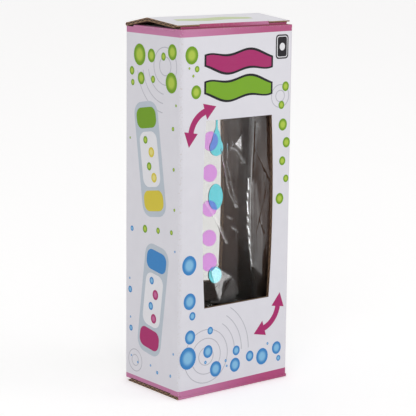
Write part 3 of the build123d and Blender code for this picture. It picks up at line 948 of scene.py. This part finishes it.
def bent_band(name, face, at, radius, width, start, sweep, layer=1):
    """Part of a ring, or a whole one, from a short edge that is spun."""
    bm = ink_sheet(name)
    ends = [bm.verts.new((radius + side * width / 2, 0, 0)) for side in (-1, 1)]
    edge = bm.edges.new(ends)
    before = set(bm.verts) - set(ends)
    whole = abs(sweep) > 2 * pi - 0.01
    bmesh.ops.spin(
        bm, geom=[*ends, edge], cent=(0, 0, 0), axis=(0, 0, 1), dvec=(0, 0, 0),
        angle=sweep, steps=48 if whole else 20, use_merge=whole,
    )
    made = [v for v in bm.verts if v not in before]
    bmesh.ops.transform(bm, matrix=spot_on(face, at, layer, start), verts=made)


print("drawing tools ready")

# %% [markdown]
# Three patterns are made with these tools: a bent arrow, a scatter of dots and a set of ripples. A cloud
# of dots is an ink, a rectangle, how many dots are tried, the largest radius and a start. It steps through
# the rectangle by two fixed fractions of its sides, which spreads the dots evenly.

# %% Patterns
head_reach, head_size = 0.75, 1.5
ripple_width, under_dots = 0.4, 0.5
step_across, step_down = 0.7549, 0.5698
smallest_share, dot_gap = 0.14, 0.3


def turning_arrow(name, face, at, radius, width, start, sweep):
    """A bent band with a head at both ends."""
    bent_band(name, face, at, radius, width, start, sweep)
    for angle, sign in ((start, -1), (start + sweep, 1)):
        tip = Matrix.Translation((radius, sign * head_reach * width, 0))
        heading = Matrix.Rotation(0 if sign > 0 else pi, 4, "Z")
        where = spot_on(face, at, 1) @ (Matrix.Rotation(angle, 4, "Z") @ tip) @ heading
        bm = ink_sheet(name)
        bmesh.ops.create_circle(bm, cap_ends=True, segments=3, radius=head_size * width, matrix=where)


def scatter(face, taken, *clouds):
    """Dots from large to small, left out where something is printed; gives how many there are."""
    before = len(taken)
    for name, (left, top, right, bottom), count, largest, start in clouds:
        for number in range(count):
            u = left + (right - left) * ((start + step_across * number) % 1)
            v = top + (bottom - top) * ((start + step_down * number) % 1)
            radius = largest * (smallest_share + (1 - smallest_share) * (1 - number / count) ** 2.5)
            gap = dot_stretch * radius + dot_gap
            if all(u + gap < a or u - gap > c or v + gap < b or v - gap > d for a, b, c, d in taken):
                dot(name, face, (u, v), radius)
                taken.append((u - gap, v - gap, u + gap, v + gap))
    return len(taken) - before


def ripples(face, at, *radii, start=0.0, sweep=2 * pi):
    """Thin grey rings round one point, or parts of them."""
    for radius in radii:
        bent_band("grey", face, at, radius, ripple_width, start, sweep, under_dots)


print("patterns ready")

# %% [markdown]
# The front has two wavy ribbons above the window, a dark tag in the corner and a turning arrow at two
# corners of the window. Dots fill what is left. A list of taken rectangles, first of all the window, keeps
# them apart.

# %% Front print
ribbon_length, ribbon_swing, ribbon_rim = 36, 1.1, 2.0
for at, width, name in (((31.5, 14.5), 7.0, "magenta"), ((31.5, 26.0), 7.5, "green_band")):
    ribbon("dark", front_face, at, ribbon_length + ribbon_rim, width + ribbon_rim, ribbon_swing)
    ribbon(name, front_face, at, ribbon_length, width, ribbon_swing, 2)
tag_place = (55.6, 9.4)
tag_sheets = ("dark", (7.2, 10.6), 1.6), ("white", (6.0, 9.4), 1.2), ("dark", (5.2, 8.6), 0.9)
for layer, (name, size, radius) in enumerate(tag_sheets, 1):
    rounded_patch(name, front_face, tag_place, size, radius, layer)
dot("white", front_face, tag_place, 1.5, 4)
turning_arrow("magenta", front_face, (16.5, 45.5), 11.0, 2.8, radians(108), radians(62))
turning_arrow("magenta", front_face, (44.5, 124.0), 11.5, 2.8, radians(288), radians(62))
front_taken = [
    (11.6, 38.4, 52.4, 121.6), (11.5, 9.0, 51.5, 32.0), (51.4, 3.5, 60.0, 15.5),
    (2.0, 30.5, 18.5, 50.0), (42.0, 120.0, 60.0, 139.0), (21.0, 124.0, 45.0, 139.0),
]
ripples(front_face, (15.0, 142.5), 4.0, 8.0, 12.0)
ripples(front_face, (15.0, 142.5), 16.0, 20.0, 24.0, sweep=radians(56))
ripples(front_face, (55.0, 31.0), 2.5, 5.0)
dots = scatter(
    front_face, front_taken,
    ("green", (4.5, 8.0, 14.0, 30.0), 26, 3.4, 0.13), ("green", (55.0, 20.0, 59.5, 78.0), 30, 2.4, 0.41),
    ("blue", (4.5, 94.0, 24.0, 151.0), 60, 4.6, 0.27), ("blue", (26.0, 142.0, 58.0, 151.0), 26, 3.4, 0.66),
)
print("front print with", dots, "dots")

# %% [markdown]
# The left side has two large tilted capsules with pools of colour and dots falling between them. A capsule
# is a pale rounded patch, and the pools are smaller patches turned by the same angle.

# %% Left print
def capsule(at, tilt, upper, lower):
    """A pale capsule with a pool at each end and drops between."""
    lean = Matrix.Rotation(tilt, 2)

    def inside(u, v):
        turned = lean @ Vector((u, -v))
        return at[0] + turned.x, at[1] - turned.y

    rounded_patch("pale", left_face, at, (17, 50), 5.5, 1, tilt)
    rounded_patch("white", left_face, inside(0, 0), (12.5, 24), 4.0, 2, tilt)
    rounded_patch(upper, left_face, inside(0, -18.0), (14, 9), 3.5, 2, tilt)
    rounded_patch(lower, left_face, inside(0, 18.0), (14, 9), 3.5, 2, tilt)
    drops = ((-2.0, -8.5, 1.5), (1.5, -3.0, 2.0), (-1.0, 3.0, 1.6), (1.8, 8.0, 1.9))
    for (u, v, radius), colour in zip(drops, (upper, lower, upper, lower)):
        dot(colour, left_face, inside(u, v), radius, 3)


capsule((18.5, 57.0), radians(9), "green", "yellow")
capsule((21.0, 119.0), radians(-8), "blue", "magenta")
left_taken = [(5.0, 28.5, 32.0, 85.5), (7.0, 90.5, 35.0, 147.5)]
ripples(left_face, (29.0, 16.0), 4.0, 8.0)
ripples(left_face, (29.0, 16.0), 12.0, 16.0, 20.0, start=radians(190), sweep=radians(75))
ripples(left_face, (8.0, 149.0), 2.5, 5.0)
dots = scatter(
    left_face, left_taken,
    ("green", (5.0, 9.0, 35.0, 27.0), 34, 4.2, 0.19), ("green", (3.5, 30.0, 37.0, 92.0), 70, 2.4, 0.53),
    ("blue", (3.5, 88.0, 37.0, 151.0), 90, 3.0, 0.37),
)
print("left print with", dots, "dots")

# %% [markdown]
# Rear, right side and lid cannot be seen in the photograph or only just, so they carry the same dots and
# rings, thinly spread, and the lid a pale ribbon.

# %% Other prints
ripples(rear_face, (20.0, 138.0), 3.0, 6.5, 10.0)
ripples(rear_face, (46.0, 19.0), 3.0, 6.0, 9.0)
dots = scatter(
    rear_face, [(14.0, 34.0, 48.0, 120.5)],
    ("blue", (5.0, 9.0, 57.0, 80.0), 60, 4.0, 0.11), ("green", (5.0, 84.0, 57.0, 151.0), 60, 4.2, 0.47),
)
ripples(right_face, (20.0, 44.0), 4.0, 8.0, 12.0)
ripples(right_face, (18.0, 112.0), 4.0, 8.0, 12.0, 16.0)
dots += scatter(
    right_face, [],
    ("green", (5.0, 9.0, 35.0, 76.0), 34, 4.2, 0.23), ("blue", (5.0, 80.0, 35.0, 151.0), 34, 4.4, 0.59),
)
ribbon("lid_green", lid_face, (28.0, 10.5), 40, 6.0, 0.8)
print("rear and right print with", dots, "dots")

# %% [markdown]
# Each ink becomes one piece. Its shapes get a thickness of three hundredths of a millimetre, and its
# finish uses the same printed skin as the board, so gloss, flutes and mottle run through it.

# %% Inks
ink_thickness, ink_gloss = 0.03 * mm, 0.15
pale_edge, pale_soft = 0.42, 0.22


def ink_finish(name, deep, light):
    """A printed ink, paler in the middle of a dot."""
    material, tree, shader = finish(name)
    where, axes = place(tree)
    surface = add(tree, "Group", {"Place": where, "Along": axes[2]}, node_tree=skin)
    middle = add(tree, "Attribute", attribute_name="light").outputs["Fac"]
    pale = above(tree, middle, pale_edge, pale_soft)
    tree.links.new(mottled(tree, surface, mix(tree, pale, deep, light)), shader.inputs["Base Color"])
    tree.links.new(surface.outputs["Roughness"], shader.inputs["Roughness"])
    shader.inputs["Specular IOR Level"].default_value = ink_gloss
    relief(tree, shader, surface)
    return material


ink_colours = {
    "blue": ((66, 140, 205), (140, 198, 235)), "green": ((120, 165, 35), (185, 210, 80)),
    "magenta": ((178, 48, 112), (205, 110, 160)), "green_band": ((128, 178, 42), (185, 210, 80)),
    "yellow": ((222, 205, 70), (238, 228, 140)), "grey": [(196, 196, 204)] * 2,
    "dark": [(28, 26, 32)] * 2, "white": [(240, 240, 244)] * 2,
    "pale": [(196, 206, 216)] * 2, "lid_green": [(200, 215, 160)] * 2,
}
for name, bm in ink_sheets.items():
    deep, light = (ink(*colour) for colour in ink_colours[name])
    bmesh.ops.solidify(bm, geom=bm.faces[:], thickness=ink_thickness)
    bmesh.ops.recalc_face_normals(bm, faces=bm.faces)
    body = "lid" if name == "lid_green" else "carton"
    printed = ink_finish(f"{name}_ink", deep, light)
    sheet = new_piece(f"{name}_print", bm, printed, body, smooth=False)

# %% [markdown]
# One piece of skin is left. The CAD has a small step where a wall ends and the rounded crease of a dust
# flap or of the bottom begins, but on a folded carton the paper runs on over the fold. So a strip with
# the finish of the walls lies over each of these steps. It ends short of the path of the board that turns.

# %% Skin over the folds
flap_step, panel_step = (29.6, 0.8), (59.0, 0.4)
bm = bmesh.new()
for face, at, size in (
    (left_face, (20.6, 1.35), flap_step), (left_face, (19.2, 157.0), flap_step),
    (right_face, (19.2, 1.35), flap_step), (right_face, (20.6, 157.0), flap_step),
    (front_face, (31.0, 158.39), panel_step),
):
    where = spot_on(face, at, under_dots, size=size)
    bmesh.ops.create_grid(bm, x_segments=1, y_segments=1, size=0.5, matrix=where)
bmesh.ops.solidify(bm, geom=bm.faces[:], thickness=ink_thickness)
bmesh.ops.recalc_face_normals(bm, faces=bm.faces)
fold_skin = new_piece("fold_skin", bm, wall_board, "carton", smooth=False)

# %% [markdown]
# ## Light paths
# Light reaches the camera through film, body and drops, so its paths may be longer than usual.

# %% Light paths
scene.cycles.max_bounces = 24
scene.cycles.transmission_bounces = 24
